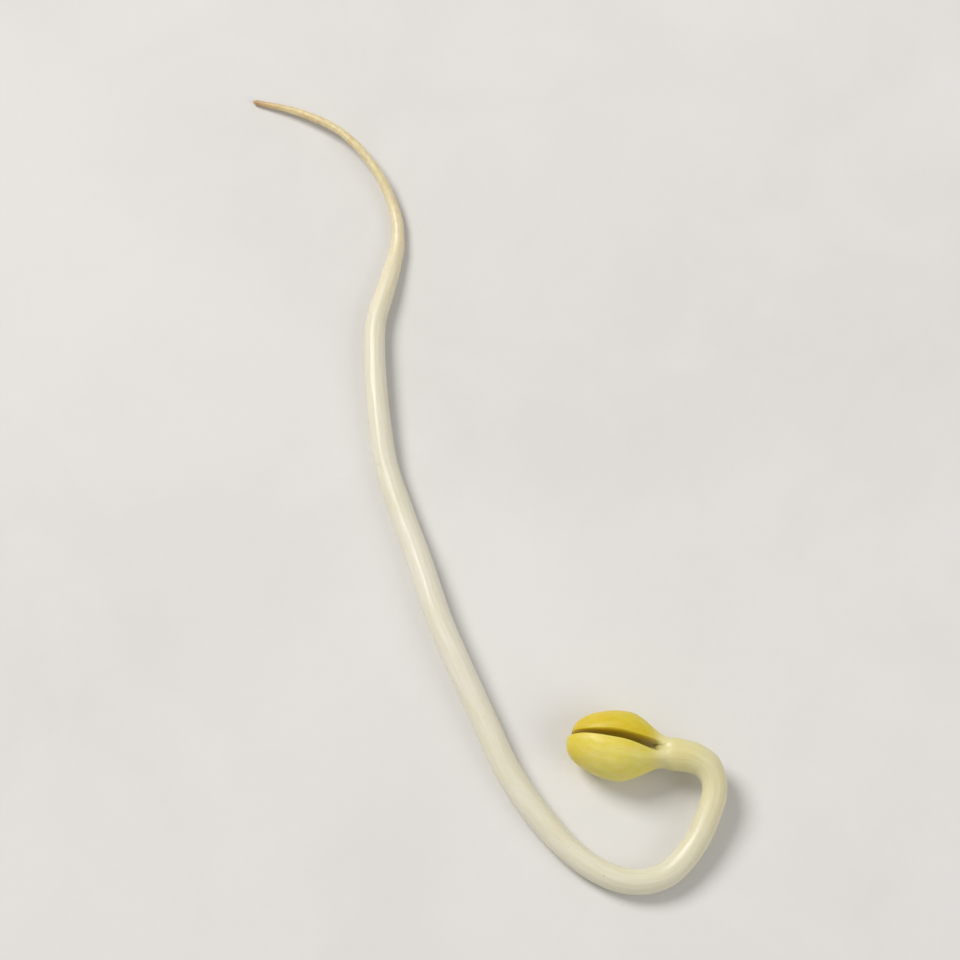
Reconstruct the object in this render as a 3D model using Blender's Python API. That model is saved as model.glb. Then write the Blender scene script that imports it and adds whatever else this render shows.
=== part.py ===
"""A single soybean sprout, lying on a flat surface.

Metres, +Z up. The surface is z = 0, and the origin is under the middle of the sprout's box.
The root tip is at the +Y end, and the long stem runs down to the hooked neck and head at the -Y end.
"""

import math

import bmesh
import bpy
from mathutils import Vector

MM = 0.001

# Centre line of the root and stem, from the root tip to the top of the neck.
# Each point is x, y, lift above lying flat, and diameter, in millimetres.
ROUTE_MM = [
    (-27.1, 48.5, 0.1, 0.70),
    (-22.0, 46.9, 0.6, 0.95),
    (-17.0, 44.1, 1.1, 1.05),
    (-13.2, 39.9, 1.1, 1.15),
    (-10.6, 34.9, 0.5, 1.35),
    (-9.8, 30.0, 0.0, 1.70),
    (-10.9, 24.5, 0.0, 2.25),
    (-12.3, 19.0, 0.2, 2.50),
    (-12.3, 13.0, 0.4, 2.60),
    (-11.8, 7.0, 0.3, 2.70),
    (-10.9, 1.0, 0.0, 2.85),
    (-9.0, -5.0, 0.0, 2.95),
    (-6.9, -11.0, 0.3, 3.00),
    (-5.0, -17.0, 0.6, 3.05),
    (-2.6, -23.0, 0.6, 3.10),
    (0.3, -29.5, 0.4, 3.10),
    (3.2, -35.8, 0.1, 3.10),
    (6.9, -41.3, 0.0, 3.05),
    (11.3, -45.9, 0.0, 3.00),
    (16.0, -48.3, 0.0, 3.00),
    (20.4, -47.9, 0.2, 2.95),
    (23.6, -44.9, 0.7, 2.90),
    (25.5, -41.2, 1.3, 2.90),
    (26.3, -38.2, 1.8, 2.90),
    (25.6, -35.9, 2.1, 3.00),
    (24.0, -34.8, 2.1, 3.10),
    (22.2, -34.4, 2.0, 3.20),
]
STEM_SIDES = 20
RING_STEP = 1.4 * MM
HOOK_RING_STEP = 0.7 * MM
HOOK_LENGTH = 12.0 * MM
ROUTE_FINENESS = 60  # steps between two route points when the route's length is measured
SOFT_SHARE = 0.06  # share of the radius that a resting stretch is flattened by
TIP_DOME = 0.6 * MM
TIP_RINGS = 3

# The neck flares to an oval shoulder, rounds off, and ends in a tongue between the seed leaves' bases.
FLARE_LENGTH = 4.8 * MM
SHOULDER_HALF_ACROSS = 1.84 * MM
SHOULDER_HALF_WIDTH = 1.90 * MM
SHOULDER_LENGTH = 0.45 * MM
SHOULDER_POWER = 3.0
SHOULDER_RINGS = 7
TONGUE_LENGTH = 2.6 * MM
TONGUE_HALF_ACROSS = 0.50 * MM
TONGUE_HALF_WIDTH = 1.30 * MM
TONGUE_RINGS = 8

# The head: the two seed leaves face each other across the crease.
HEAD_ROLL = math.radians(8.0)
HEAD_PITCH = math.radians(-1.5)
PIECE_GAP = 0.3 * MM
LEAF_START = SHOULDER_LENGTH + PIECE_GAP
LEAF_SEGMENTS = 32
LEAF_RINGS = 20
FRONT_LEAF_MM = (11.8, 7.3, 3.3)  # length, width and thickness
REAR_LEAF_MM = (11.4, 6.9, 3.2)
OUTLINE_POWER = 2.3
BASE_POWER = 6.0  # the base is blunter than the tip
BLUNT_SHARE = 0.20
BASE_WIDTH_SHARE = 0.48
FULL_WIDTH_AT = 0.55
BASE_THICKNESS_SHARE = 0.32
FULL_THICKNESS_AT = 0.50
RIM_ROUNDING = 0.45 * MM
RIM_POWER = 4
INNER_DISH = 0.60 * MM
HALF_CREASE = 0.80 * MM
HALF_CREASE_TIP = 0.45 * MM
TIP_CURL_START = 6.5 * MM
TIP_CURL_LENGTH = 6.1 * MM

# The plumule: two first leaves folded together on a short stalk.
PLUMULE_LENGTH = 4.6 * MM
PLUMULE_WIDTH = 1.6 * MM
PLUMULE_THICKNESS = 0.9 * MM
PLUMULE_STALK = 0.7 * MM
PLUMULE_FOOT_SHARE = 0.08
PLUMULE_STALK_SHARE = 0.18
PLUMULE_WIDEST_SHARE = 0.50
PLUMULE_POINT = 0.15  # share of its size that is left at the pointed end
PLUMULE_FOLD_DEPTH = 0.16
PLUMULE_FOLD_POWER = 8
PLUMULE_SIDES = 16
PLUMULE_RINGS = 14

STEM_COLOR = (0.80, 0.77, 0.62, 1.0)
STEM_ROUGHNESS = 0.42
FRONT_LEAF_COLOR = (0.78, 0.68, 0.20, 1.0)
REAR_LEAF_COLOR = (0.74, 0.60, 0.08, 1.0)
LEAF_ROUGHNESS = 0.45
PLUMULE_COLOR = (0.66, 0.66, 0.26, 1.0)
PLUMULE_ROUGHNESS = 0.50


def smooth(share):
    """Eases from 0 to 1 as share does."""
    share = min(max(share, 0.0), 1.0)
    return share * share * (3.0 - 2.0 * share)


def curve_point(points, place):
    """The point at place on one smooth curve through points, where place counts points from 0."""
    last = len(points) - 1
    first = min(int(place), last - 1)
    share = place - first
    p1 = points[first]
    p2 = points[first + 1]
    p0 = points[first - 1] if first > 0 else p1 * 2.0 - p2
    p3 = points[first + 2] if first + 2 <= last else p2 * 2.0 - p1
    linear = (p2 - p0) * share
    square = (p0 * 2.0 - p1 * 5.0 + p2 * 4.0 - p3) * share**2
    cube = (p1 * 3.0 - p0 - p2 * 3.0 + p3) * share**3
    return (p1 * 2.0 + linear + square + cube) * 0.5


def route_stations():
    """Centre and radius along the root and stem, closer together round the hook of the neck."""
    points = [Vector(p) * MM for p in ROUTE_MM]
    steps = (len(points) - 1) * ROUTE_FINENESS
    walk = [curve_point(points, i / ROUTE_FINENESS) for i in range(steps + 1)]
    lengths = [0.0]
    for before, after in zip(walk, walk[1:]):
        lengths.append(lengths[-1] + (after - before).xy.length)
    plain = lengths[-1] - HOOK_LENGTH
    plain_rings = round(plain / RING_STEP)
    hook_rings = round(HOOK_LENGTH / HOOK_RING_STEP)
    marks = [plain * i / plain_rings for i in range(plain_rings)]
    marks += [plain + HOOK_LENGTH * i / hook_rings for i in range(hook_rings + 1)]
    stations = []
    at = 0
    for mark in marks:
        while at < len(lengths) - 2 and lengths[at + 1] < mark:
            at += 1
        share = (mark - lengths[at]) / (lengths[at + 1] - lengths[at])
        x, y, lift, diameter = walk[at].lerp(walk[at + 1], min(share, 1.0))
        radius = diameter / 2.0
        stations.append((Vector((x, y, lift + radius * (1.0 - SOFT_SHARE))), radius))
    return stations


def station_tangents(stations):
    """The unit direction of the centre line at each station."""
    tangents = []
    last = len(stations) - 1
    for i in range(last + 1):
        before = stations[max(i - 1, 0)][0]
        after = stations[min(i + 1, last)][0]
        tangents.append((after - before).normalized())
    return tangents


def head_frame(stations, tangents):
    """The top of the neck, and the head's directions: along it, across its crease, and up its width."""
    heading = math.atan2(tangents[-1].y, tangents[-1].x)
    along = Vector(
        (
            math.cos(heading) * math.cos(HEAD_PITCH),
            math.sin(heading) * math.cos(HEAD_PITCH),
            math.sin(HEAD_PITCH),
        )
    )
    level = Vector((0.0, 0.0, 1.0)).cross(along).normalized()
    upward = along.cross(level)
    across = level * math.cos(HEAD_ROLL) + upward * math.sin(HEAD_ROLL)
    width = along.cross(across)
    return stations[-1][0], along, across, width


def new_object(name, bm, color, roughness):
    """Turns bm into a smooth-shaded object with its own material."""
    bm.normal_update()
    bmesh.ops.recalc_face_normals(bm, faces=bm.faces)
    mesh = bpy.data.meshes.new(name)
    bm.to_mesh(mesh)
    bm.free()
    mesh.shade_smooth()
    material = bpy.data.materials.new(name)
    material.use_nodes = True
    shader = material.node_tree.nodes["Principled BSDF"]
    shader.inputs["Base Color"].default_value = color
    shader.inputs["Roughness"].default_value = roughness
    shader.inputs["Metallic"].default_value = 0.0
    mesh.materials.append(material)
    obj = bpy.data.objects.new(name, mesh)
    bpy.context.scene.collection.objects.link(obj)
    return obj


def rest_on_surface(bm):
    """Flattens what would dip below the surface, so that the piece rests on small flat spots."""
    for vert in bm.verts:
        vert.co.z = max(vert.co.z, 0.0)


def skin_rings(bm, rings, start, end):
    """Joins rings of points into a closed skin, with a point at each end."""
    loops = [[bm.verts.new(point) for point in ring] for ring in rings]
    sides = len(loops[0])
    for lower, upper in zip(loops, loops[1:]):
        for i in range(sides):
            after = (i + 1) % sides
            bm.faces.new((lower[i], lower[after], upper[after], upper[i]))
    for tip, loop in ((start, loops[0]), (end, loops[-1])):
        pole = bm.verts.new(tip)
        for i in range(sides):
            bm.faces.new((pole, loop[i], loop[(i + 1) % sides]))


def inner_face(distance):
    """How far a seed leaf's inner face lies from the middle of the crease, which narrows to the tip."""
    tip = smooth((distance - TIP_CURL_START) / TIP_CURL_LENGTH)
    return HALF_CREASE + (HALF_CREASE_TIP - HALF_CREASE) * tip


def build_stem(stations, tangents, frame):
    """Root, stem and neck: one tapering body that flares and ends in a tongue between the seed leaves."""
    top, along, across, width = frame
    rings = []

    def ring(centre, tangent, radius, half_across, half_width, ovalness):
        side = tangent.cross(Vector((0.0, 0.0, 1.0))).normalized()
        rise = side.cross(tangent)
        points = []
        for i in range(STEM_SIDES):
            angle = 2.0 * math.pi * i / STEM_SIDES - math.pi / 2.0
            direction = side * math.cos(angle) + rise * math.sin(angle)
            oval = 1.0 / math.hypot(
                direction.dot(across) / half_across, direction.dot(width) / half_width
            )
            points.append(centre + direction * (radius + (oval - radius) * ovalness))
        return points

    for (centre, radius), tangent in zip(stations, tangents):
        ovalness = smooth(1.0 - (top - centre).length / FLARE_LENGTH)
        rings.append(
            ring(centre, tangent, radius, SHOULDER_HALF_ACROSS, SHOULDER_HALF_WIDTH, ovalness)
        )
    root_tip, root_radius = stations[0]
    for i in range(1, TIP_RINGS + 1):
        angle = math.pi / 2.0 * i / (TIP_RINGS + 1)
        centre = root_tip - tangents[0] * TIP_DOME * math.sin(angle)
        radius = root_radius * math.cos(angle)
        rings.insert(0, ring(centre, tangents[0], radius, radius, radius, 0.0))
    for i in range(1, SHOULDER_RINGS + 1):
        angle = math.pi / 2.0 * i / SHOULDER_RINGS
        distance = SHOULDER_LENGTH * math.sin(angle) ** (2.0 / SHOULDER_POWER)
        step = max(math.cos(angle), 0.0) ** (2.0 / SHOULDER_POWER)
        half_across = TONGUE_HALF_ACROSS + (SHOULDER_HALF_ACROSS - TONGUE_HALF_ACROSS) * step
        half_width = TONGUE_HALF_WIDTH + (SHOULDER_HALF_WIDTH - TONGUE_HALF_WIDTH) * step
        rings.append(ring(top + along * distance, along, half_across, half_across, half_width, 1.0))
    for i in range(1, TONGUE_RINGS + 1):
        angle = math.pi / 2.0 * i / (TONGUE_RINGS + 1)
        distance = SHOULDER_LENGTH + (TONGUE_LENGTH - SHOULDER_LENGTH) * math.sin(angle)
        closing = math.sqrt(math.cos(angle))
        half_across = TONGUE_HALF_ACROSS * closing
        half_width = TONGUE_HALF_WIDTH * closing
        rings.append(ring(top + along * distance, along, half_across, half_across, half_width, 1.0))
    bm = bmesh.new()
    skin_rings(bm, rings, root_tip - tangents[0] * TIP_DOME, top + along * TONGUE_LENGTH)
    rest_on_surface(bm)
    return new_object("stem_and_root", bm, STEM_COLOR, STEM_ROUGHNESS)


def leaf_profile(share, base_share, full_at):
    """Half-size along a seed leaf, from its narrow base at 0 to its round tip at 1."""
    power = BASE_POWER + (OUTLINE_POWER - BASE_POWER) * smooth(share / BLUNT_SHARE)
    rounded = (1.0 - abs(2.0 * share - 1.0) ** power) ** (1.0 / power)
    return rounded * (base_share + (1.0 - base_share) * smooth(share / full_at))


def leaf_section(sideways, outward, depth, thickness):
    """How far a seed leaf's skin lies outside its inner face, for a direction round its section."""
    if outward >= 0.0:
        return depth * outward
    rim = RIM_ROUNDING * (1.0 - sideways**RIM_POWER) ** (1.0 / RIM_POWER)
    dish = INNER_DISH * (1.0 - sideways**2) ** 2
    return (dish - rim) * depth / thickness


def build_leaf(name, size_mm, frame, facing, color):
    """A seed leaf: half a bean, domed outside and slightly dished inside."""
    top, along, across, width = frame
    length, breadth, thickness = (size * MM for size in size_mm)
    bm = bmesh.new()
    bmesh.ops.create_uvsphere(bm, u_segments=LEAF_SEGMENTS, v_segments=LEAF_RINGS, radius=1.0)
    for vert in bm.verts:
        share = min(max((1.0 + vert.co.z) / 2.0, 0.0), 1.0)
        half_width = breadth / 2.0 * leaf_profile(share, BASE_WIDTH_SHARE, FULL_WIDTH_AT)
        depth = thickness * leaf_profile(share, BASE_THICKNESS_SHARE, FULL_THICKNESS_AT)
        sideways, outward = vert.co.xy.normalized()
        distance = LEAF_START + length * share
        out = inner_face(distance) + leaf_section(sideways, outward, depth, thickness)
        vert.co = top + along * distance + width * half_width * sideways + across * out * facing
    rest_on_surface(bm)
    return new_object(name, bm, color, LEAF_ROUGHNESS)


def build_plumule(frame):
    """Two tiny first leaves folded face to face, on a short stalk between the seed leaves."""
    top, along, across, width = frame
    start = top + along * (TONGUE_LENGTH + PIECE_GAP)
    rings = []
    for i in range(1, PLUMULE_RINGS):
        share = i / PLUMULE_RINGS
        stalk = PLUMULE_STALK / 2.0 * smooth(share / PLUMULE_FOOT_SHARE)
        swell = smooth((share - PLUMULE_STALK_SHARE) / (PLUMULE_WIDEST_SHARE - PLUMULE_STALK_SHARE))
        narrowing = smooth((share - PLUMULE_WIDEST_SHARE) / (1.0 - PLUMULE_WIDEST_SHARE))
        taper = 1.0 - (1.0 - PLUMULE_POINT) * narrowing
        half_width = (stalk + (PLUMULE_WIDTH - PLUMULE_STALK) / 2.0 * swell) * taper
        half_depth = (stalk + (PLUMULE_THICKNESS - PLUMULE_STALK) / 2.0 * swell) * taper
        centre = start + along * PLUMULE_LENGTH * share
        ring = []
        for k in range(PLUMULE_SIDES):
            angle = 2.0 * math.pi * k / PLUMULE_SIDES
            fold = 1.0 - PLUMULE_FOLD_DEPTH * swell * math.cos(angle) ** PLUMULE_FOLD_POWER
            sideways = width * half_width * math.cos(angle) * fold
            ring.append(centre + sideways + across * half_depth * math.sin(angle))
        rings.append(ring)
    bm = bmesh.new()
    skin_rings(bm, rings, start, start + along * PLUMULE_LENGTH)
    return new_object("plumule", bm, PLUMULE_COLOR, PLUMULE_ROUGHNESS)


def centre_on_box(objects):
    """Moves the whole sprout so that the origin is under the middle of its box."""
    corners = [vert.co for obj in objects for vert in obj.data.vertices]
    low_x = min(corner.x for corner in corners)
    high_x = max(corner.x for corner in corners)
    low_y = min(corner.y for corner in corners)
    high_y = max(corner.y for corner in corners)
    shift = Vector(((low_x + high_x) / -2.0, (low_y + high_y) / -2.0, 0.0))
    for obj in objects:
        for vert in obj.data.vertices:
            vert.co += shift


def main():
    for obj in list(bpy.data.objects):
        bpy.data.objects.remove(obj)
    stations = route_stations()
    tangents = station_tangents(stations)
    frame = head_frame(stations, tangents)
    tangents[-1] = frame[1]
    objects = [
        build_stem(stations, tangents, frame),
        build_leaf("cotyledon_front", FRONT_LEAF_MM, frame, 1.0, FRONT_LEAF_COLOR),
        build_leaf("cotyledon_rear", REAR_LEAF_MM, frame, -1.0, REAR_LEAF_COLOR),
        build_plumule(frame),
    ]
    centre_on_box(objects)


main()
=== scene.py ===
"""The looks of one soybean sprout that lies on a pale surface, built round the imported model.

Metres, +Z up, and the surface is z = 0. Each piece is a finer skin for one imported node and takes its
place: the root and stem, the two seed leaves, and the folded first leaves between them.
"""

import math

import bpy
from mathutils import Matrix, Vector, noise
from mathutils.bvhtree import BVHTree


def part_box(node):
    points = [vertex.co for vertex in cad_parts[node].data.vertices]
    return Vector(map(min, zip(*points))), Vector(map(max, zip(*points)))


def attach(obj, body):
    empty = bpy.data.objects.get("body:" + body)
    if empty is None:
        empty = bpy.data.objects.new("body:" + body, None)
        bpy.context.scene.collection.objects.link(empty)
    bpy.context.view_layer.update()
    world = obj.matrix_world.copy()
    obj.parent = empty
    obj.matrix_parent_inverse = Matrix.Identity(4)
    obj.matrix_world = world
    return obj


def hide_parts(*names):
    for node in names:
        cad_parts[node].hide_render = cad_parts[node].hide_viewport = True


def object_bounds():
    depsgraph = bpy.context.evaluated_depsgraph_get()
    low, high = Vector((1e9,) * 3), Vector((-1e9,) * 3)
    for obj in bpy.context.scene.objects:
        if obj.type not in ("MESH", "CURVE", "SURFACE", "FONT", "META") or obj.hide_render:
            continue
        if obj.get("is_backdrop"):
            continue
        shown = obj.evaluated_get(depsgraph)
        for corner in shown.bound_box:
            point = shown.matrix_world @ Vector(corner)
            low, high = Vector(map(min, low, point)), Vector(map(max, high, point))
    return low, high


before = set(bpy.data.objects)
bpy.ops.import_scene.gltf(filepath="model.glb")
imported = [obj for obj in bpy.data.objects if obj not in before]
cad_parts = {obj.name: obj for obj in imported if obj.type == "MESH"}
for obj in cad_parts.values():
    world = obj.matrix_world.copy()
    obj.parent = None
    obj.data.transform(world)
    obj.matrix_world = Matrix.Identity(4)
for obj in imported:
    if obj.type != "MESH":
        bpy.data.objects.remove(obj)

CAD_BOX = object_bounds()

MM = 0.001
UP = Vector((0.0, 0.0, 1.0))

# Centre line of the root and stem, from the root tip to the top of the neck, as in the part's source.
# Each point is x, y, lift above lying flat, and diameter, in millimetres.
ROUTE_MM = [
    (-27.1, 48.5, 0.1, 0.70),
    (-22.0, 46.9, 0.6, 0.95),
    (-17.0, 44.1, 1.1, 1.05),
    (-13.2, 39.9, 1.1, 1.15),
    (-10.6, 34.9, 0.5, 1.35),
    (-9.8, 30.0, 0.0, 1.70),
    (-10.9, 24.5, 0.0, 2.25),
    (-12.3, 19.0, 0.2, 2.50),
    (-12.3, 13.0, 0.4, 2.60),
    (-11.8, 7.0, 0.3, 2.70),
    (-10.9, 1.0, 0.0, 2.85),
    (-9.0, -5.0, 0.0, 2.95),
    (-6.9, -11.0, 0.3, 3.00),
    (-5.0, -17.0, 0.6, 3.05),
    (-2.6, -23.0, 0.6, 3.10),
    (0.3, -29.5, 0.4, 3.10),
    (3.2, -35.8, 0.1, 3.10),
    (6.9, -41.3, 0.0, 3.05),
    (11.3, -45.9, 0.0, 3.00),
    (16.0, -48.3, 0.0, 3.00),
    (20.4, -47.9, 0.2, 2.95),
    (23.6, -44.9, 0.7, 2.90),
    (25.5, -41.2, 1.3, 2.90),
    (26.3, -38.2, 1.8, 2.90),
    (25.6, -35.9, 2.1, 3.00),
    (24.0, -34.8, 2.1, 3.10),
    (22.2, -34.4, 2.0, 3.20),
]
ROUTE_FINENESS = 60  # steps between two route points when the route's length is measured
STEM_SIDES = 60
RING_STEP = 0.23 * MM
HOOK_RING_STEP = 0.14 * MM
HOOK_LENGTH = 12.0 * MM
TANGENT_RINGS = 2  # rings before and after a ring that give its direction
HEADING_RINGS = 5  # rings back from the top of the neck that give the head its heading
SOFT_SHARE = 0.06  # share of the radius that a resting stretch is flattened by
SKIN_INSET = 0.04 * MM  # keeps the skin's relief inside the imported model's box
INSET_SHARE = 0.3  # the inset is never a larger share of the radius than this
TIP_DOME = 0.6 * MM
TIP_RINGS = 12

# Relief of the stem's skin
RELIEF_RADIUS = 0.6 * MM  # relief is weaker where the radius is smaller than this
RELIEF_START = 3.0 * MM  # relief, apart from the ribs, grows over this length from the root tip
RIB_COUNT = 15
RIB_TWIST = 4.0  # radians a metre
RIB_DEPTH = 0.030 * MM
RIB_WANDER = 3.0  # radians
RIB_WANDER_LENGTH = 9.0 * MM
RIB_WANDER_LINE = 4.0  # the line through the noise that the ribs wander by
RIB_PATCH_SIZE = 2.2 * MM  # the ribs come and go in patches
RIB_PATCH_STRETCH = 4.0
RIB_LOSS_ON_ROOT = 0.7
SWELL_LENGTH = 8.0 * MM
SWELL_SHARE = 0.022
SWELL_LINE = 1.5  # the line through the noise that the stem swells by
DENT_SIZE = 0.55 * MM
DENT_STRETCH = 6.0
DENT_DEPTH = 0.020 * MM
ROOT_LENGTH = 24.0 * MM
ROOT_BLEND = 12.0 * MM
WRINKLE_SIZE = 0.38 * MM
WRINKLE_STRETCH = 0.55
WRINKLE_DEPTH = 0.035 * MM
KNOB_SIZE = 1.6 * MM
KNOB_STRETCH = 1.0
KNOB_DEPTH = 0.055 * MM

# The neck, as in the part's source, and its tongue, which is fuller here and meets the leaf bases
FLARE_LENGTH = 4.8 * MM
SHOULDER_HALF_ACROSS = 1.84 * MM
SHOULDER_HALF_WIDTH = 1.90 * MM
SHOULDER_LENGTH = 0.45 * MM
SHOULDER_DROP_LENGTH = 1.7 * MM
TONGUE_LENGTH = 2.6 * MM
TONGUE_END_SHARE = 0.12  # share of the shoulder's half width that is left at the tongue's end
TONGUE_CLOSING_POWER = 8  # the tongue keeps its size nearly to its end
TONGUE_RINGS = 36
OVAL_POWER = 2.0  # the power of an oval section
TONGUE_POWER = 4.0  # the power of a section between an oval and a rectangle
SEAT_OVERLAP = 0.12 * MM  # how far the tongue runs into the seed leaves' inner faces

# The head, as in the part's source, but with leaf bases that are rounder and run on into the neck
HEAD_ROLL = math.radians(8.0)
HEAD_PITCH = math.radians(-1.5)
PIECE_GAP = 0.3 * MM
LEAF_START = SHOULDER_LENGTH + PIECE_GAP
LEAF_SEGMENTS = 132
LEAF_RINGS = 120
FRONT_LEAF_MM = (11.8, 7.3, 3.3)  # length, width and thickness
REAR_LEAF_MM = (11.4, 6.9, 3.2)
OUTLINE_POWER = 2.3
BASE_POWER = 3.5  # the base is blunter than the tip
BLUNT_SHARE = 0.20
BASE_WIDTH_SHARE = 0.48
FULL_WIDTH_AT = 0.55
BASE_THICKNESS_SHARE = 0.32
FULL_THICKNESS_AT = 0.50
RIM_ROUNDING = 0.45 * MM
RIM_POWER = 4
INNER_DISH = 0.60 * MM
HALF_CREASE = 0.80 * MM
HALF_CREASE_TIP = 0.45 * MM
TIP_CURL_START = 6.5 * MM
TIP_CURL_LENGTH = 6.1 * MM
LEAF_BACK = 0.6 * MM  # how far the base runs on back into the neck
LEAF_SINK = 0.28 * MM  # how far the base sinks into the tongue
LEAF_SINK_END = 3.0 * MM
LEAF_INSET = 0.02 * MM

# Relief of the seed leaves' skin
LEAF_RELIEF_BASE = 0.12  # shares of the length over which the relief grows from the base and the tip
LEAF_RELIEF_TIP = 0.10
LEAF_RELIEF_WIDTH = 1.5 * MM  # relief widens a leaf less where its half width is below this
LEAF_NOISE_SHIFT = 40.0 * MM  # how far apart the two leaves are in the noise
LEAF_WAVE_SIZE = 3.2 * MM
LEAF_WAVE_DEPTH = 0.10 * MM
LEAF_WAVE_LEVEL = 0.35  # keeps most of the waves below the plain form
LEAF_DIMPLE_SIZE = 0.8 * MM
LEAF_DIMPLE_STRETCH = 2.6
LEAF_DIMPLE_DEPTH = 0.022 * MM
VEIN_COUNT = 9
VEIN_DEPTH = 0.022 * MM
VEIN_WANDER = 1.4  # radians
VEIN_WANDER_RATE = 3.0
VEIN_WANDER_LINE = 7.0
HEEL_NOTCH = 0.30 * MM  # a shallow notch in each leaf's lower side
HEEL_NOTCH_AT = 0.34
HEEL_NOTCH_LENGTH = 0.20
HEEL_NOTCH_POWER = 3

# How the neck and the leaf bases run into each other
BLEND_REACH = 1.3 * MM
BLEND_PASSES = 9
BLEND_STEP = 0.10 * MM
SEAM_SLOPE = 0.12
SEAM_BEND = 0.8
FACING_START = -0.9  # points that face the other skin more squarely than this are not moved
FACING_REACH = 0.6
BURIED_START = 0.30 * MM  # points that lie deeper than this in the other skin are moved less
BURIED_REACH = 0.50 * MM
LEAST_WAY_OUT = 0.45  # below this length the way out is not clear enough to follow
TOUCHING = 0.002 * MM  # a point this near a skin counts as lying on it
EVEN_PASSES = 4
EVEN_SHARE = 0.5
HEAD_REACH = 9.0 * MM  # how far from the top of the neck the skins run together at most
NEAR_REACH = 2.4 * MM  # how far from the seam its colour reaches

# The plumule, as in the part's source, and its veins
PLUMULE_LENGTH = 4.6 * MM
PLUMULE_WIDTH = 1.6 * MM
PLUMULE_THICKNESS = 0.9 * MM
PLUMULE_STALK = 0.7 * MM
PLUMULE_FOOT_SHARE = 0.08
PLUMULE_STALK_SHARE = 0.18
PLUMULE_WIDEST_SHARE = 0.50
PLUMULE_POINT = 0.15  # share of its size that is left at the pointed end
PLUMULE_FOLD_DEPTH = 0.16
PLUMULE_FOLD_POWER = 8
PLUMULE_SIDES = 72
PLUMULE_RINGS = 70
PLUMULE_VEIN_COUNT = 12
PLUMULE_VEIN_SLANT = 4.0  # radians
PLUMULE_VEIN_POWER = 4
PLUMULE_VEIN_DEPTH = 0.018 * MM

# Colours along the sprout, from the root tip at 0 to the tongue's end at 1
STEM_COLORS = [
    (0.000, (0.42, 0.23, 0.09)),
    (0.010, (0.62, 0.44, 0.22)),
    (0.035, (0.80, 0.66, 0.38)),
    (0.130, (0.83, 0.72, 0.45)),
    (0.210, (0.83, 0.755, 0.56)),
    (0.300, (0.825, 0.785, 0.67)),
    (0.600, (0.83, 0.80, 0.71)),
    (0.860, (0.81, 0.775, 0.63)),
    (0.930, (0.80, 0.75, 0.51)),
    (0.975, (0.79, 0.72, 0.36)),
    (1.000, (0.74, 0.64, 0.20)),
]
ROOT_LOOK = [(0.10, 1.0), (0.26, 0.0)]  # how much the skin looks like a root's along the sprout
STEM_BLOTCH_COLOR = (0.77, 0.755, 0.58)
STEM_STREAK_TINT = (0.90, 0.87, 0.74)
STEM_FLECK_COLOR = (0.50, 0.34, 0.17)
ROOT_GRAIN_COLOR = (0.58, 0.42, 0.22)

# Colours of the seed leaves, of the seam where they run into the neck, and of the first leaves
LEAF_PALE_FROM = 0.22  # shares of a seed leaf's length between which it is pale
LEAF_PALE_TO = 0.70
# Painted shade: the leaf colour deepens where the skin turns away, at the rim and on the inner face in the
# crease.
LEAF_RIM_PAINTED_SHADE = [(0.0, 1.0), (0.42, 0.0)]  # how deep the colour is as the skin turns outward
LEAF_BASE_COLOR = (0.79, 0.71, 0.30)
LEAF_FLECK_COLOR = (0.42, 0.30, 0.06)
# Lit and shaded copies of one leaf colour: the front leaf's colours are painted paler as painted light, and
# the rear leaf's deeper as painted shade.
FRONT_LEAF_COLORS_WITH_PAINTED_LIGHT = {
    "pale": (0.85, 0.745, 0.185),
    "deep": (0.79, 0.62, 0.035),
    "green": (0.71, 0.69, 0.12),
    "light": (0.87, 0.80, 0.40),
}
REAR_LEAF_COLORS_WITH_PAINTED_SHADE = {
    "pale": (0.77, 0.60, 0.035),
    "deep": (0.70, 0.50, 0.006),
    "green": (0.60, 0.56, 0.03),
    "light": (0.82, 0.70, 0.15),
}
SEAM_COLOR = (0.79, 0.72, 0.36)
SEAM_DEPTH_FROM = 0.55  # nearer the seam than this, less and less light enters the skin
PLUMULE_COLORS = [(0.0, (0.72, 0.68, 0.34)), (0.25, (0.66, 0.67, 0.28)), (1.0, (0.52, 0.56, 0.14))]
PLUMULE_VEIN_COLOR = (0.74, 0.74, 0.42)
GLOSS_LEVELS = (0.3, 0.7)  # levels of the noise at which a skin is smoothest and roughest

# The stage, the lights and the view
FLOOR_HALF_SIZE = 3.0
FLOOR_DROP = 0.01 * MM
FLOOR_DARK = (0.735, 0.720, 0.697)
FLOOR_PALE = (0.790, 0.778, 0.760)
FLOOR_WASH = (0.815, 0.806, 0.792)
FLOOR_ROUGHNESS = [(0.0, 0.62), (1.0, 0.74)]
VIEW_ELEVATION = math.radians(70.0)
VIEW_DISTANCE = 0.372
VIEW_TARGET = Vector((0.0, -0.0005, 0.002))
LENS_MM = 120.0
SENSOR_MM = 36.0
CLIP_START = 0.01
WORLD_COLOR = (1.0, 0.985, 0.96, 1.0)
WORLD_STRENGTH = 0.37


def smooth(share):
    """Eases from 0 to 1 as share does."""
    share = min(max(share, 0.0), 1.0)
    return share * share * (3.0 - 2.0 * share)


def bump_at(place, middle, half_length):
    """A smooth hump, 1 at middle and 0 from half_length away."""
    return smooth(1.0 - abs(place - middle) / half_length)


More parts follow.
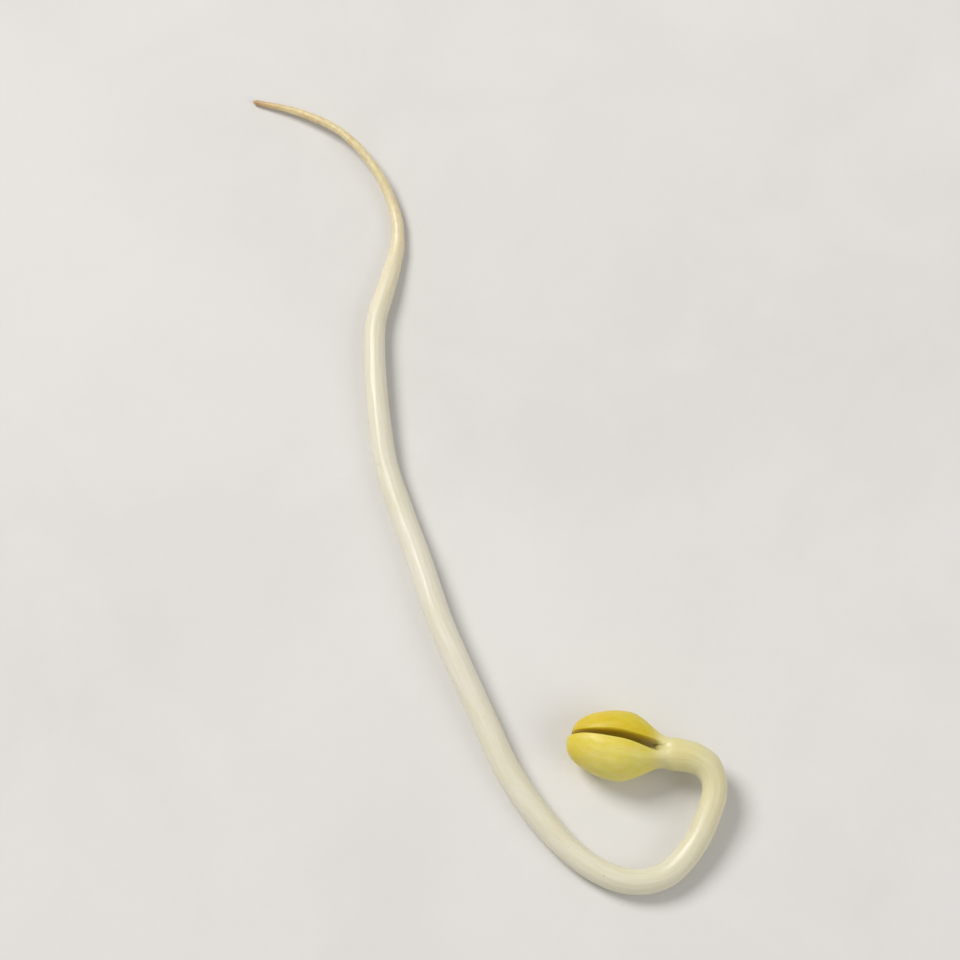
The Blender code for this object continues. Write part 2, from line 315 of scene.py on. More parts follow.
def curve_point(points, place):
    """The point at place on one smooth curve through points, where place counts points from 0."""
    last = len(points) - 1
    first = min(int(place), last - 1)
    share = place - first
    p1 = points[first]
    p2 = points[first + 1]
    p0 = points[first - 1] if first > 0 else p1 * 2.0 - p2
    p3 = points[first + 2] if first + 2 <= last else p2 * 2.0 - p1
    linear = (p2 - p0) * share
    square = (p0 * 2.0 - p1 * 5.0 + p2 * 4.0 - p3) * share**2
    cube = (p1 * 3.0 - p0 - p2 * 3.0 + p3) * share**3
    return (p1 * 2.0 + linear + square + cube) * 0.5


class Station:
    """One ring of the stem: its centre, radius, distance from the root tip, and direction."""

    def __init__(self, centre, radius, along, tangent=None):
        self.centre = centre
        self.radius = radius
        self.along = along
        self.tangent = tangent


def route_stations():
    """The stem's rings, closer together round the hook of the neck."""
    points = [Vector(p) * MM for p in ROUTE_MM]
    steps = (len(points) - 1) * ROUTE_FINENESS
    walk = [curve_point(points, i / ROUTE_FINENESS) for i in range(steps + 1)]
    lengths = [0.0]
    for before, after in zip(walk, walk[1:]):
        lengths.append(lengths[-1] + (after - before).xy.length)
    plain = lengths[-1] - HOOK_LENGTH
    plain_rings = round(plain / RING_STEP)
    hook_rings = round(HOOK_LENGTH / HOOK_RING_STEP)
    marks = [plain * i / plain_rings for i in range(plain_rings)]
    marks += [plain + HOOK_LENGTH * i / hook_rings for i in range(hook_rings + 1)]
    stations = []
    at = 0
    for mark in marks:
        while at < len(lengths) - 2 and lengths[at + 1] < mark:
            at += 1
        share = (mark - lengths[at]) / (lengths[at + 1] - lengths[at])
        x, y, lift, diameter = walk[at].lerp(walk[at + 1], min(share, 1.0))
        radius = diameter / 2.0
        centre = Vector((x, y, lift + radius * (1.0 - SOFT_SHARE)))
        stations.append(Station(centre, radius, mark))
    last = len(stations) - 1
    for i, station in enumerate(stations):
        before = stations[max(i - TANGENT_RINGS, 0)].centre
        after = stations[min(i + TANGENT_RINGS, last)].centre
        station.tangent = (after - before).normalized()
    return stations


def head_frame(stations):
    """The top of the neck, and the head's directions: along it, across its crease, and up its width."""
    top = stations[-1].centre
    heading_line = top - stations[-1 - HEADING_RINGS].centre
    heading = math.atan2(heading_line.y, heading_line.x)
    along = Vector(
        (
            math.cos(heading) * math.cos(HEAD_PITCH),
            math.sin(heading) * math.cos(HEAD_PITCH),
            math.sin(HEAD_PITCH),
        )
    )
    level = UP.cross(along).normalized()
    upward = along.cross(level)
    across = level * math.cos(HEAD_ROLL) + upward * math.sin(HEAD_ROLL)
    width = along.cross(across)
    return top, along, across, width


def inner_face(distance):
    """How far a seed leaf's inner face lies from the middle of the crease, which narrows to the tip."""
    tip = smooth((distance - TIP_CURL_START) / TIP_CURL_LENGTH)
    return HALF_CREASE + (HALF_CREASE_TIP - HALF_CREASE) * tip


class Skin:
    """Points and faces of one closed skin, with values that its material reads at each point."""

    def __init__(self, name):
        self.name = name
        self.points = []
        self.faces = []
        self.values = {}

    def add_point(self, point, **values):
        for name, value in values.items():
            self.values.setdefault(name, []).append(value)
        self.points.append(point)
        return len(self.points) - 1

    def join_rings(self, rings, start, end):
        """Joins rings of point numbers with faces, and closes both ends on a point."""
        sides = len(rings[0])
        for lower, upper in zip(rings, rings[1:]):
            for i in range(sides):
                after = (i + 1) % sides
                self.faces.append((lower[i], lower[after], upper[after], upper[i]))
        for i in range(sides):
            after = (i + 1) % sides
            self.faces.append((start, rings[0][after], rings[0][i]))
            self.faces.append((end, rings[-1][i], rings[-1][after]))

    def tree(self):
        return BVHTree.FromPolygons(self.points, self.faces)

    def build_object(self, material):
        mesh = bpy.data.meshes.new(self.name)
        mesh.from_pydata(self.points, [], self.faces)
        for name, values in self.values.items():
            if isinstance(values[0], Vector):
                attribute = mesh.attributes.new(name, "FLOAT_VECTOR", "POINT")
                attribute.data.foreach_set("vector", [c for value in values for c in value])
            else:
                attribute = mesh.attributes.new(name, "FLOAT", "POINT")
                attribute.data.foreach_set("value", values)
        mesh.validate()
        mesh.shade_smooth()
        mesh.materials.append(material)
        piece = bpy.data.objects.new(self.name, mesh)
        bpy.context.scene.collection.objects.link(piece)
        return piece


def outside(tree, point):
    """How far a point is outside a skin, below 0 inside it, and the direction straight out."""
    place, normal, _, distance = tree.find_nearest(point)
    if distance < TOUCHING:
        return 0.0, normal
    away = point - place
    side = 1.0 if away.dot(normal) >= 0.0 else -1.0
    return side * distance, away * (side / distance)


def outside_both(own, other):
    """How far a point is outside two bodies that swell together where they meet, and the way out."""
    share = min(max(0.5 + 0.5 * (other[0] - own[0]) / BLEND_REACH, 0.0), 1.0)
    rest = 1.0 - share
    distance = own[0] * share + other[0] * rest - BLEND_REACH * share * rest
    return distance, own[1] * share + other[1] * rest


def shared_surface_point(start, level, own_tree, other_trees):
    """Where a walk from start ends, at the distance level outside the soft surface of both bodies."""
    point = start
    for _ in range(BLEND_PASSES):
        own = outside(own_tree, point)
        pairs = [outside_both(own, outside(tree, point)) for tree in other_trees]
        distance, way_out = min(pairs, key=lambda pair: pair[0])
        if way_out.length < LEAST_WAY_OUT:
            break
        step = way_out * ((level - distance) / way_out.length_squared)
        if step.length > BLEND_STEP:
            step *= BLEND_STEP / step.length
        point = point + step
    return point


def even_out(moves, faces):
    """Draws each point's move towards its neighbours', so that the skin does not crumple."""
    moving = [face for face in faces if any(moves[i].length_squared > 0.0 for i in face)]
    for _ in range(EVEN_PASSES):
        sums = [Vector() for _ in moves]
        counts = [0] * len(moves)
        for face in moving:
            for here, there in zip(face, face[1:] + face[:1]):
                sums[here] += moves[there]
                sums[there] += moves[here]
                counts[here] += 1
                counts[there] += 1
        for i, count in enumerate(counts):
            if count:
                moves[i] = moves[i].lerp(sums[i] / count, EVEN_SHARE)


def grow_together(skin, own_tree, other_trees, middle):
    """Moves a skin's points near another skin out to the soft surface that both share there.

    Inside the other skin they dive gently below that surface, so that the seam does not show. Points
    that are buried deep in it, or that face straight at it, stay where they are."""
    skin.values["near"] = [0.0] * len(skin.points)
    moves = [Vector() for _ in skin.points]
    for i, start in enumerate(skin.points):
        if (start - middle).length > HEAD_REACH:
            continue
        gap, away = min((outside(tree, start) for tree in other_trees), key=lambda found: found[0])
        skin.values["near"][i] = smooth(1.0 - max(gap, 0.0) / NEAR_REACH)
        if abs(gap) > BLEND_REACH:
            continue
        under = max(-gap, 0.0)
        facing = outside(own_tree, start)[1].dot(away)
        moved = smooth((facing - FACING_START) / FACING_REACH)
        moved *= 1.0 - smooth((under - BURIED_START) / BURIED_REACH)
        level = -SEAM_SLOPE * under - SEAM_BEND * under**2 / BLEND_REACH
        point = shared_surface_point(start, level, own_tree, other_trees)
        moves[i] = (point - start) * moved
    even_out(moves, skin.faces)
    skin.points = [point + move for point, move in zip(skin.points, moves)]


def rest_on_surface(skin):
    """Flattens what would dip below the surface, so that the skin rests on small flat spots."""
    for point in skin.points:
        point.z = max(point.z, 0.0)


def skin_place(angle, radius, along):
    """A place on a stem-like skin, seamless round it, for noise."""
    return Vector((math.cos(angle) * radius, math.sin(angle) * radius, along))


def line_noise(place, line):
    """Noise along one of many lines, where line picks which."""
    return noise.noise(Vector((place, line, 0.0)))


def drawn_out_noise(place, size, stretch):
    """Noise whose grain is stretched along the skin."""
    return noise.noise(Vector((place.x, place.y, place.z / stretch)) / size)


def stem_relief(station, angle, place):
    """How far the skin of the root and stem lies outside its plain round form."""
    root = 1.0 - smooth((station.along - ROOT_LENGTH) / ROOT_BLEND)
    swell = SWELL_SHARE * station.radius * line_noise(station.along / SWELL_LENGTH, SWELL_LINE)
    wander = RIB_WANDER * line_noise(station.along / RIB_WANDER_LENGTH, RIB_WANDER_LINE)
    presence = 0.5 + 0.5 * drawn_out_noise(place, RIB_PATCH_SIZE, RIB_PATCH_STRETCH)
    rib = 0.5 - 0.5 * math.cos(RIB_COUNT * angle + RIB_COUNT * RIB_TWIST * station.along + wander)
    ribs = RIB_DEPTH * rib * presence * (1.0 - RIB_LOSS_ON_ROOT * root)
    dents = DENT_DEPTH * drawn_out_noise(place, DENT_SIZE, DENT_STRETCH)
    wrinkles = WRINKLE_DEPTH * root * drawn_out_noise(place, WRINKLE_SIZE, WRINKLE_STRETCH)
    knobs = KNOB_DEPTH * root * drawn_out_noise(place, KNOB_SIZE, KNOB_STRETCH)
    return (swell + dents + wrinkles + knobs) * smooth(station.along / RELIEF_START) - ribs


def build_stem_skin(stations, head):
    """Root, stem and neck: one tapering body that flares and ends in a tongue between the seed leaves."""
    top, along, across, width = head
    skin = Skin("sprout_stem")
    length = stations[-1].along + TONGUE_LENGTH
    root_tip = stations[0]

    def add_ring(station, half_across, half_width, flatness, power=OVAL_POWER):
        """A ring of points, round where flatness is 0 and of the half sizes given where it is 1."""
        side = station.tangent.cross(UP).normalized()
        rise = side.cross(station.tangent)
        ring = []
        for i in range(STEM_SIDES):
            angle = 2.0 * math.pi * i / STEM_SIDES - math.pi / 2.0
            direction = side * math.cos(angle) + rise * math.sin(angle)
            reach = abs(direction.dot(across) / half_across) ** power
            reach += abs(direction.dot(width) / half_width) ** power
            plain = station.radius + (reach ** (-1.0 / power) - station.radius) * flatness
            place = skin_place(angle, plain, station.along)
            relief = stem_relief(station, angle, place) * min(plain / RELIEF_RADIUS, 1.0)
            inset = min(SKIN_INSET, INSET_SHARE * plain)
            point = station.centre + direction * (plain - inset + relief)
            ring.append(skin.add_point(point, along=station.along / length, skin_place=place / MM))
        return ring[::-1]

    rings = []
    for i in range(TIP_RINGS, 0, -1):
        angle = math.pi / 2.0 * i / (TIP_RINGS + 1)
        centre = root_tip.centre - root_tip.tangent * TIP_DOME * math.sin(angle)
        dome = Station(centre, root_tip.radius * math.cos(angle), 0.0, root_tip.tangent)
        rings.append(add_ring(dome, dome.radius, dome.radius, 0.0))
    for station in stations:
        flatness = smooth(1.0 - (top - station.centre).length / FLARE_LENGTH)
        rings.append(add_ring(station, SHOULDER_HALF_ACROSS, SHOULDER_HALF_WIDTH, flatness))
    for i in range(1, TONGUE_RINGS + 1):
        share = math.sin(math.pi / 2.0 * i / (TONGUE_RINGS + 1))
        closing = math.sqrt(1.0 - share**TONGUE_CLOSING_POWER)
        distance = TONGUE_LENGTH * share
        seat = inner_face(distance) + SEAT_OVERLAP
        drop = smooth(distance / SHOULDER_DROP_LENGTH)
        half_across = (SHOULDER_HALF_ACROSS + (seat - SHOULDER_HALF_ACROSS) * drop) * closing
        half_width = SHOULDER_HALF_WIDTH * (1.0 - (1.0 - TONGUE_END_SHARE) * share**2) * closing
        power = OVAL_POWER + (TONGUE_POWER - OVAL_POWER) * drop
        tongue = Station(top + along * distance, half_across, stations[-1].along + distance, along)
        rings.append(add_ring(tongue, half_across, half_width, 1.0, power))
    start = skin.add_point(
        root_tip.centre - root_tip.tangent * (TIP_DOME - SKIN_INSET),
        along=0.0,
        skin_place=Vector(),
    )
    end = skin.add_point(
        top + along * TONGUE_LENGTH,
        along=1.0,
        skin_place=Vector((0.0, 0.0, length / MM)),
    )
    skin.join_rings(rings, start, end)
    return skin


def leaf_profile(share, base_share, full_at):
    """Half size along a seed leaf, from its narrow base at 0 to its round tip at 1."""
    share = min(max(share, 0.0), 1.0)
    power = BASE_POWER + (OUTLINE_POWER - BASE_POWER) * smooth(share / BLUNT_SHARE)
    rounded = (1.0 - abs(2.0 * share - 1.0) ** power) ** (1.0 / power)
    return rounded * (base_share + (1.0 - base_share) * smooth(share / full_at))


def leaf_section(sideways, outward, depth, thickness):
    """How far a seed leaf's skin lies outside its inner face, for a direction round its section."""
    if outward >= 0.0:
        return depth * outward
    rim = RIM_ROUNDING * (1.0 - sideways**RIM_POWER) ** (1.0 / RIM_POWER)
    dish = INNER_DISH * (1.0 - sideways**2) ** 2
    return (dish - rim) * depth / thickness


def leaf_relief(place, angle, share):
    """How far a seed leaf's skin lies outside its plain form."""
    away = smooth(share / LEAF_RELIEF_BASE) * smooth((1.0 - share) / LEAF_RELIEF_TIP)
    wave = LEAF_WAVE_DEPTH * (noise.noise(place / LEAF_WAVE_SIZE) - LEAF_WAVE_LEVEL)
    dimple = LEAF_DIMPLE_DEPTH * drawn_out_noise(place, LEAF_DIMPLE_SIZE, LEAF_DIMPLE_STRETCH)
    wander = VEIN_WANDER * noise.noise(Vector((share * VEIN_WANDER_RATE, angle, VEIN_WANDER_LINE)))
    vein = math.cos(VEIN_COUNT * angle + wander) ** 2
    return (wave + dimple - VEIN_DEPTH * vein) * away


def build_leaf_skin(name, size_mm, head, facing, seed):
    """A seed leaf: half a bean, domed outside and slightly dished inside, its base sunk in the neck."""
    top, along, across, width = head
    length, breadth, thickness = (size * MM for size in size_mm)
    start = LEAF_START - LEAF_BACK
    reach = length + LEAF_BACK
    skin = Skin(name)

    def add_point(share, angle):
        distance = start + reach * share
        half_width = breadth / 2.0 * leaf_profile(share, BASE_WIDTH_SHARE, FULL_WIDTH_AT)
        depth = thickness * leaf_profile(share, BASE_THICKNESS_SHARE, FULL_THICKNESS_AT)
        sideways = math.cos(angle)
        outward = math.sin(angle)
        sunk = LEAF_SINK * (1.0 - smooth((distance - start) / (LEAF_SINK_END - start)))
        out = inner_face(distance) - sunk + leaf_section(sideways, outward, depth, thickness)
        place = skin_place(angle, half_width, distance) + Vector((0.0, 0.0, seed * LEAF_NOISE_SHIFT))
        relief = leaf_relief(place, angle, share) - LEAF_INSET
        near_heel = bump_at(share, HEEL_NOTCH_AT, HEEL_NOTCH_LENGTH)
        notch = HEEL_NOTCH * near_heel * max(-sideways, 0.0) ** HEEL_NOTCH_POWER
        swell = 1.0 + relief / max(half_width, LEAF_RELIEF_WIDTH)
        point = top + along * distance
        point += width * (half_width * sideways * swell + notch)
        point += across * (out + relief * max(outward, 0.0)) * facing
        return skin.add_point(point, share=share, outward=outward, skin_place=place / MM)

    rings = []
    for i in range(1, LEAF_RINGS):
        share = 0.5 - 0.5 * math.cos(math.pi * i / LEAF_RINGS)
        ring = [add_point(share, 2.0 * math.pi * k / LEAF_SEGMENTS) for k in range(LEAF_SEGMENTS)]
        rings.append(ring if facing < 0.0 else ring[::-1])
    skin.join_rings(rings, add_point(0.0, 0.0), add_point(1.0, 0.0))
    return skin


def build_plumule_skin(head):
    """Two tiny first leaves folded face to face, on a short stalk whose foot is sunk in the tongue."""
    top, along, across, width = head
    start = top + along * (TONGUE_LENGTH - PIECE_GAP)
    length = PLUMULE_LENGTH + 2.0 * PIECE_GAP
    skin = Skin("first_leaves")
    rings = []
    for i in range(1, PLUMULE_RINGS):
        share = i / PLUMULE_RINGS
        stalk = PLUMULE_STALK / 2.0 * smooth(share / PLUMULE_FOOT_SHARE)
        swell = smooth((share - PLUMULE_STALK_SHARE) / (PLUMULE_WIDEST_SHARE - PLUMULE_STALK_SHARE))
        narrowing = smooth((share - PLUMULE_WIDEST_SHARE) / (1.0 - PLUMULE_WIDEST_SHARE))
        taper = 1.0 - (1.0 - PLUMULE_POINT) * narrowing
        half_width = (stalk + (PLUMULE_WIDTH - PLUMULE_STALK) / 2.0 * swell) * taper
        half_depth = (stalk + (PLUMULE_THICKNESS - PLUMULE_STALK) / 2.0 * swell) * taper
        centre = start + along * length * share
        ring = []
        for k in range(PLUMULE_SIDES):
            angle = 2.0 * math.pi * k / PLUMULE_SIDES
            fold = 1.0 - PLUMULE_FOLD_DEPTH * swell * math.cos(angle) ** PLUMULE_FOLD_POWER
            slant = PLUMULE_VEIN_SLANT * abs(math.cos(angle))
            vein = math.cos(PLUMULE_VEIN_COUNT * share * math.pi - slant) ** PLUMULE_VEIN_POWER
            depth = half_depth - PLUMULE_VEIN_DEPTH * vein * swell
            sideways = width * half_width * math.cos(angle) * fold
            point = centre + sideways + across * depth * math.sin(angle)
            place = skin_place(angle, half_width, length * share)
            ring.append(skin.add_point(point, share=share, skin_place=place / MM))
        rings.append(ring[::-1])
    first = skin.add_point(start, share=0.0, skin_place=Vector())
    last = skin.add_point(start + along * length, share=1.0, skin_place=Vector())
    skin.join_rings(rings, first, last)
    return skin


class Paint:
    """A material's node tree, with short ways to add the nodes that are used here."""

    def __init__(self, name):
        self.material = bpy.data.materials.new(name)
        self.material.use_nodes = True
        self.tree = self.material.node_tree
        self.shader = self.tree.nodes["Principled BSDF"]

    def set(self, **values):
        """Sets plain numbers and colours on the shader's own sockets."""
        for name, value in values.items():
            self.shader.inputs[name.replace("_", " ")].default_value = value

    def link(self, output, socket):
        self.tree.links.new(output, self.shader.inputs[socket])

    def put(self, value, socket):
        """Links a node's output to a socket, or sets a plain value on it."""
        if isinstance(value, bpy.types.NodeSocket):
            self.tree.links.new(value, socket)
        else:
            socket.default_value = value

    def value_of(self, name):
        made = self.tree.nodes.new("ShaderNodeAttribute")
        made.attribute_name = name
        return made.outputs["Fac"]

    def vector_of(self, name, scale=(1.0, 1.0, 1.0)):
        made = self.tree.nodes.new("ShaderNodeAttribute")
        made.attribute_name = name
        mapping = self.tree.nodes.new("ShaderNodeMapping")
        mapping.inputs["Scale"].default_value = scale
        self.tree.links.new(made.outputs["Vector"], mapping.inputs["Vector"])
        return mapping.outputs["Vector"]

    def object_place(self):
        return self.tree.nodes.new("ShaderNodeTexCoord").outputs["Object"]

    def noise(self, place, scale, detail=3.0, roughness=0.5, distortion=0.0):
        made = self.tree.nodes.new("ShaderNodeTexNoise")
        self.put(place, made.inputs["Vector"])
        made.inputs["Scale"].default_value = scale
        made.inputs["Detail"].default_value = detail
        made.inputs["Roughness"].default_value = roughness
        made.inputs["Distortion"].default_value = distortion
        return made.outputs["Fac"]

    def ramp(self, factor, stops):
        """A colour ramp with stops of (place, colour) or (place, grey)."""
        made = self.tree.nodes.new("ShaderNodeValToRGB")
        self.put(factor, made.inputs["Fac"])
        elements = made.color_ramp.elements
        while len(elements) < len(stops):
            elements.new(0.5)
        for element, (place, colour) in zip(elements, stops):
            element.position = place
            shade = (colour,) * 3 if isinstance(colour, float) else colour
            element.color = (*shade, 1.0)
        return made.outputs["Color"]

    def mix(self, factor, a, b, blend="MIX"):
        """Mixes two colours, through the sockets that the mix node keeps for colours."""
        made = self.tree.nodes.new("ShaderNodeMix")
        made.data_type = "RGBA"
        made.blend_type = blend
        self.put(factor, made.inputs[0])
        for value, socket in ((a, made.inputs[6]), (b, made.inputs[7])):
            self.put(value if isinstance(value, bpy.types.NodeSocket) else (*value, 1.0), socket)
        return made.outputs[2]

    def multiply(self, a, b):
        made = self.tree.nodes.new("ShaderNodeMath")
        made.operation = "MULTIPLY"
        self.put(a, made.inputs[0])
        self.put(b, made.inputs[1])
        return made.outputs[0]

    def bump(self, height, distance, normal=None):
        made = self.tree.nodes.new("ShaderNodeBump")
        made.inputs["Strength"].default_value = 1.0
        made.inputs["Distance"].default_value = distance
        self.put(height, made.inputs["Height"])
        if normal is not None:
            self.put(normal, made.inputs["Normal"])
        return made.outputs["Normal"]

    def patches(self, place, low, high, **grain):
        """Noise made into patches: 0 where it is below low, and 1 where it is above high."""
        return self.ramp(self.noise(place, **grain), [(low, 0.0), (high, 1.0)])

    def stain(self, body, pattern, colour, strength, blend="MIX"):
        """Lays a colour over the body's own where the pattern is strong."""
        return self.mix(self.multiply(pattern, strength), body, colour, blend)

    def vary_gloss(self, place, scale, smoothest, roughest):
        """Lets the roughness drift softly between two values."""
        pattern = self.noise(place, scale)
        stops = list(zip(GLOSS_LEVELS, (smoothest, roughest)))
        self.link(self.ramp(pattern, stops), "Roughness")

    def hide_seam(self, body, subsurface):
        """Gives the neck and the leaves one colour, and no light below it, where they run together."""
        near = self.value_of("near")
        self.link(self.mix(near, body, SEAM_COLOR), "Base Color")
        depth = self.ramp(near, [(SEAM_DEPTH_FROM, subsurface), (1.0, 0.0)])
        self.link(depth, "Subsurface Weight")


def stem_material():
    """Moist ivory stem with fine lengthwise streaks, tan towards the root tip and yellow at the neck."""
    paint = Paint("stem_skin")
    along = paint.value_of("along")
    place = paint.vector_of("skin_place")
    drawn_out = paint.vector_of("skin_place", scale=(1.0, 1.0, 0.09))
    fibrous = paint.vector_of("skin_place", scale=(1.0, 1.0, 0.16))
    blotch = paint.patches(place, low=0.36, high=0.66, scale=0.22, detail=4.0)
    streak = paint.patches(drawn_out, low=0.35, high=0.68, scale=2.6, detail=5.0, roughness=0.6)
    fleck = paint.patches(place, low=0.70, high=0.76, scale=1.7, roughness=0.6)
    grain = paint.patches(place, low=0.40, high=0.64, scale=1.3, detail=5.0, roughness=0.65)
    root_grain = paint.multiply(grain, paint.ramp(along, ROOT_LOOK))
    body = paint.ramp(along, STEM_COLORS)
    body = paint.stain(body, blotch, STEM_BLOTCH_COLOR, strength=0.38)
    body = paint.stain(body, streak, STEM_STREAK_TINT, strength=0.55, blend="MULTIPLY")
    body = paint.stain(body, fleck, STEM_FLECK_COLOR, strength=0.45)
    body = paint.stain(body, root_grain, ROOT_GRAIN_COLOR, strength=0.5)
    paint.hide_seam(body, subsurface=0.75)
    paint.vary_gloss(drawn_out, scale=3.4, smoothest=0.34, roughest=0.50)
    cells = paint.bump(paint.noise(fibrous, scale=9.0, roughness=0.6), distance=0.016 * MM)
    paint.link(paint.bump(streak, distance=0.020 * MM, normal=cells), "Normal")
    paint.set(
        Subsurface_Radius=(1.0, 0.90, 0.70),
        Subsurface_Scale=1.1 * MM,
        IOR=1.40,
        Specular_IOR_Level=0.5,
        Coat_Weight=0.28,
        Coat_Roughness=0.20,
    )
    return paint.material


def leaf_material(name, pale, deep, green, light):
    """Plump waxy seed leaf: pale on its dome and deeper towards its tip, with painted shade deepening its
    rim and inner face.
    """
    paint = Paint(name)
    place = paint.vector_of("skin_place")
    drawn_out = paint.vector_of("skin_place", scale=(1.0, 1.0, 0.28))
    mottle = paint.patches(place, low=0.38, high=0.66, scale=0.42, detail=5.0, roughness=0.55)
    cloud = paint.patches(place, low=0.46, high=0.72, scale=0.20)
    # Painted shade mask: full on the inner face and at the rim, fading out over the dome.
    rim = paint.ramp(paint.value_of("outward"), LEAF_RIM_PAINTED_SHADE)
    streak = paint.patches(drawn_out, low=0.42, high=0.70, scale=1.5, detail=4.0, roughness=0.6)
    fleck = paint.patches(place, low=0.71, high=0.78, scale=2.2, roughness=0.6)
    stops = [(0.0, LEAF_BASE_COLOR), (LEAF_PALE_FROM, pale), (LEAF_PALE_TO, pale), (1.0, deep)]
    body = paint.ramp(paint.value_of("share"), stops)
    body = paint.stain(body, mottle, deep, strength=0.50)
    body = paint.stain(body, cloud, green, strength=0.40)
    # Painted shade: the deep colour laid over the rim and the inner face.
    body = paint.stain(body, rim, deep, strength=0.55)
    body = paint.stain(body, streak, light, strength=0.30)
    body = paint.stain(body, fleck, LEAF_FLECK_COLOR, strength=0.35)
    paint.hide_seam(body, subsurface=0.70)
    paint.vary_gloss(place, scale=1.1, smoothest=0.36, roughest=0.50)
    grain = paint.noise(place, scale=7.0, detail=4.0, roughness=0.6)
    grained = paint.bump(grain, distance=0.016 * MM)
    paint.link(paint.bump(streak, distance=0.025 * MM, normal=grained), "Normal")
    paint.set(
        Subsurface_Radius=(1.0, 0.72, 0.18),
        Subsurface_Scale=1.3 * MM,
        IOR=1.40,
        Specular_IOR_Level=0.5,
        Coat_Weight=0.18,
        Coat_Roughness=0.25,
    )
    return paint.material


def plumule_material():
    """Soft pale green first leaves with a paler stalk and faint veins."""
    paint = Paint("first_leaf_skin")
    place = paint.vector_of("skin_place")
    vein = paint.patches(place, low=0.40, high=0.65, scale=3.2, detail=4.0, roughness=0.6)
    body = paint.ramp(paint.value_of("share"), PLUMULE_COLORS)
    paint.link(paint.stain(body, vein, PLUMULE_VEIN_COLOR, strength=0.5), "Base Color")
    paint.vary_gloss(place, scale=2.0, smoothest=0.48, roughest=0.62)
    grain = paint.noise(place, scale=11.0, detail=4.0, roughness=0.6)
    paint.link(paint.bump(grain, distance=0.012 * MM), "Normal")
    paint.set(
        Subsurface_Weight=0.55,
        Subsurface_Radius=(0.9, 1.0, 0.25),
        Subsurface_Scale=0.6 * MM,
        IOR=1.40,
    )
    return paint.material


def floor_material():
    """Pale warm surface with soft, faint mottling."""
    paint = Paint("pale_floor")
    place = paint.object_place()
    cloud = paint.patches(place, low=0.34, high=0.68, scale=16.0, detail=5.0, roughness=0.55)
    wash = paint.patches(
        place, low=0.40, high=0.66, scale=48.0, detail=5.0, roughness=0.6, distortion=0.6
    )
    body = paint.mix(cloud, FLOOR_DARK, FLOOR_PALE)
    paint.link(paint.stain(body, wash, FLOOR_WASH, strength=0.42), "Base Color")
    paint.link(paint.ramp(wash, FLOOR_ROUGHNESS), "Roughness")
    grain = paint.noise(place, scale=420.0, detail=4.0, roughness=0.6)
    paint.link(paint.bump(grain, distance=0.05 * MM), "Normal")
    paint.set(Specular_IOR_Level=0.3)
    return paint.material


def build_floor():
    half = FLOOR_HALF_SIZE
    corners = [(-half, -half), (half, -half), (half, half), (-half, half)]
    mesh = bpy.data.meshes.new("floor")
    mesh.from_pydata([(x, y, -FLOOR_DROP) for x, y in corners], [], [(0, 1, 2, 3)])
    mesh.materials.append(floor_material())
    floor = bpy.data.objects.new("floor", mesh)
    bpy.context.scene.collection.objects.link(floor)
    floor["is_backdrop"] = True


def aim(thing, place, target):
    """Puts a light or the camera at place, looking at target, with its top edge upward."""
    thing.location = place
    thing.rotation_euler = (place - target).to_track_quat("Z", "Y").to_euler()


def add_area_light(name, place, size, power, colour):
    light = bpy.data.lights.new(name, "AREA")
    light.shape = "DISK"
    light.size = size
    light.energy = power
    light.color = colour
    lamp = bpy.data.objects.new(name, light)
    bpy.context.scene.collection.objects.link(lamp)
    aim(lamp, Vector(place), VIEW_TARGET)


def light_scene():
    """Soft daylight from the upper left, with a weaker fill from the right."""
    add_area_light("key", place=(-0.66, 0.52, 0.98), size=0.62, power=11.2, colour=(1.0, 0.985, 0.96))
    add_area_light("fill", place=(0.75, -0.42, 0.70), size=0.75, power=2.6, colour=(0.97, 0.98, 1.0))
    world = bpy.data.worlds.new("studio")
    world.use_nodes = True
    background = world.node_tree.nodes["Background"]
    background.inputs["Color"].default_value = WORLD_COLOR
    background.inputs["Strength"].default_value = WORLD_STRENGTH
    bpy.context.scene.world = world
    bpy.context.scene.view_settings.view_transform = "Standard"


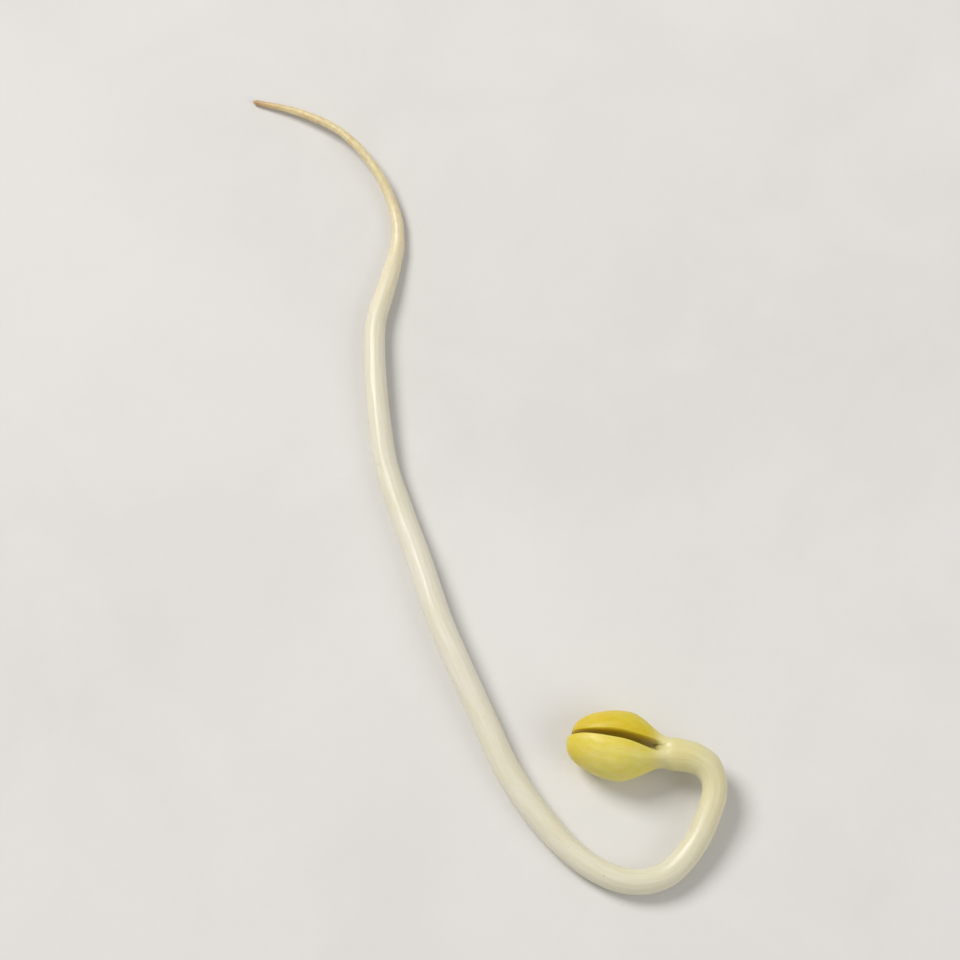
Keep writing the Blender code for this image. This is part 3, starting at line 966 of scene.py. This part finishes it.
def add_camera():
    """Looks down on the sprout, root tip at the top left and head at the bottom right."""
    data = bpy.data.cameras.new("camera")
    data.lens = LENS_MM
    data.sensor_width = SENSOR_MM
    data.clip_start = CLIP_START
    camera = bpy.data.objects.new("camera", data)
    bpy.context.scene.collection.objects.link(camera)
    back = Vector((0.0, -math.cos(VIEW_ELEVATION), math.sin(VIEW_ELEVATION)))
    aim(camera, VIEW_TARGET + back * VIEW_DISTANCE, VIEW_TARGET)
    bpy.context.scene.camera = camera


def place_on_packed_stem(skins):
    """Moves all the skins together so that the stem, the first of them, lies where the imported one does."""
    low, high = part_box("stem_and_root")
    for axis in (0, 1):
        values = [point[axis] for point in skins[0].points]
        shift = (low[axis] + high[axis]) / 2.0 - (min(values) + max(values)) / 2.0
        for skin in skins:
            for point in skin.points:
                point[axis] += shift


def main():
    stations = route_stations()
    head = head_frame(stations)
    top, along, _, _ = head
    stations[-1].tangent = along
    stem = build_stem_skin(stations, head)
    front = build_leaf_skin("seed_leaf_front", FRONT_LEAF_MM, head, facing=1.0, seed=1)
    rear = build_leaf_skin("seed_leaf_rear", REAR_LEAF_MM, head, facing=-1.0, seed=2)
    plumule = build_plumule_skin(head)
    stem_tree = stem.tree()
    leaf_trees = [leaf.tree() for leaf in (front, rear)]
    grow_together(stem, stem_tree, leaf_trees, top)
    for leaf, tree in zip((front, rear), leaf_trees):
        grow_together(leaf, tree, [stem_tree], top)
    skins = (stem, front, rear, plumule)
    for skin in skins:
        rest_on_surface(skin)
    place_on_packed_stem(skins)

    # The two leaf materials differ by painted light on the front leaf and painted shade on the rear leaf.
    front_material_with_painted_light = leaf_material("front_leaf_skin_with_painted_light", **FRONT_LEAF_COLORS_WITH_PAINTED_LIGHT)
    rear_material_with_painted_shade = leaf_material("rear_leaf_skin_with_painted_shade", **REAR_LEAF_COLORS_WITH_PAINTED_SHADE)
    dressing = (
        (stem, stem_material(), "stem_and_root", "stem"),
        (front, front_material_with_painted_light, "cotyledon_front", "seed_leaf"),
        (rear, rear_material_with_painted_shade, "cotyledon_rear", "seed_leaf"),
        (plumule, plumule_material(), "plumule", "first_leaves"),
    )
    for skin, material, node, slot in dressing:
        piece = skin.build_object(material)
        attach(piece, "root")
        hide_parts(node)
    build_floor()
    light_scene()
    add_camera()


main()

[[list(corner) for corner in box] for box in (CAD_BOX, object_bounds())]
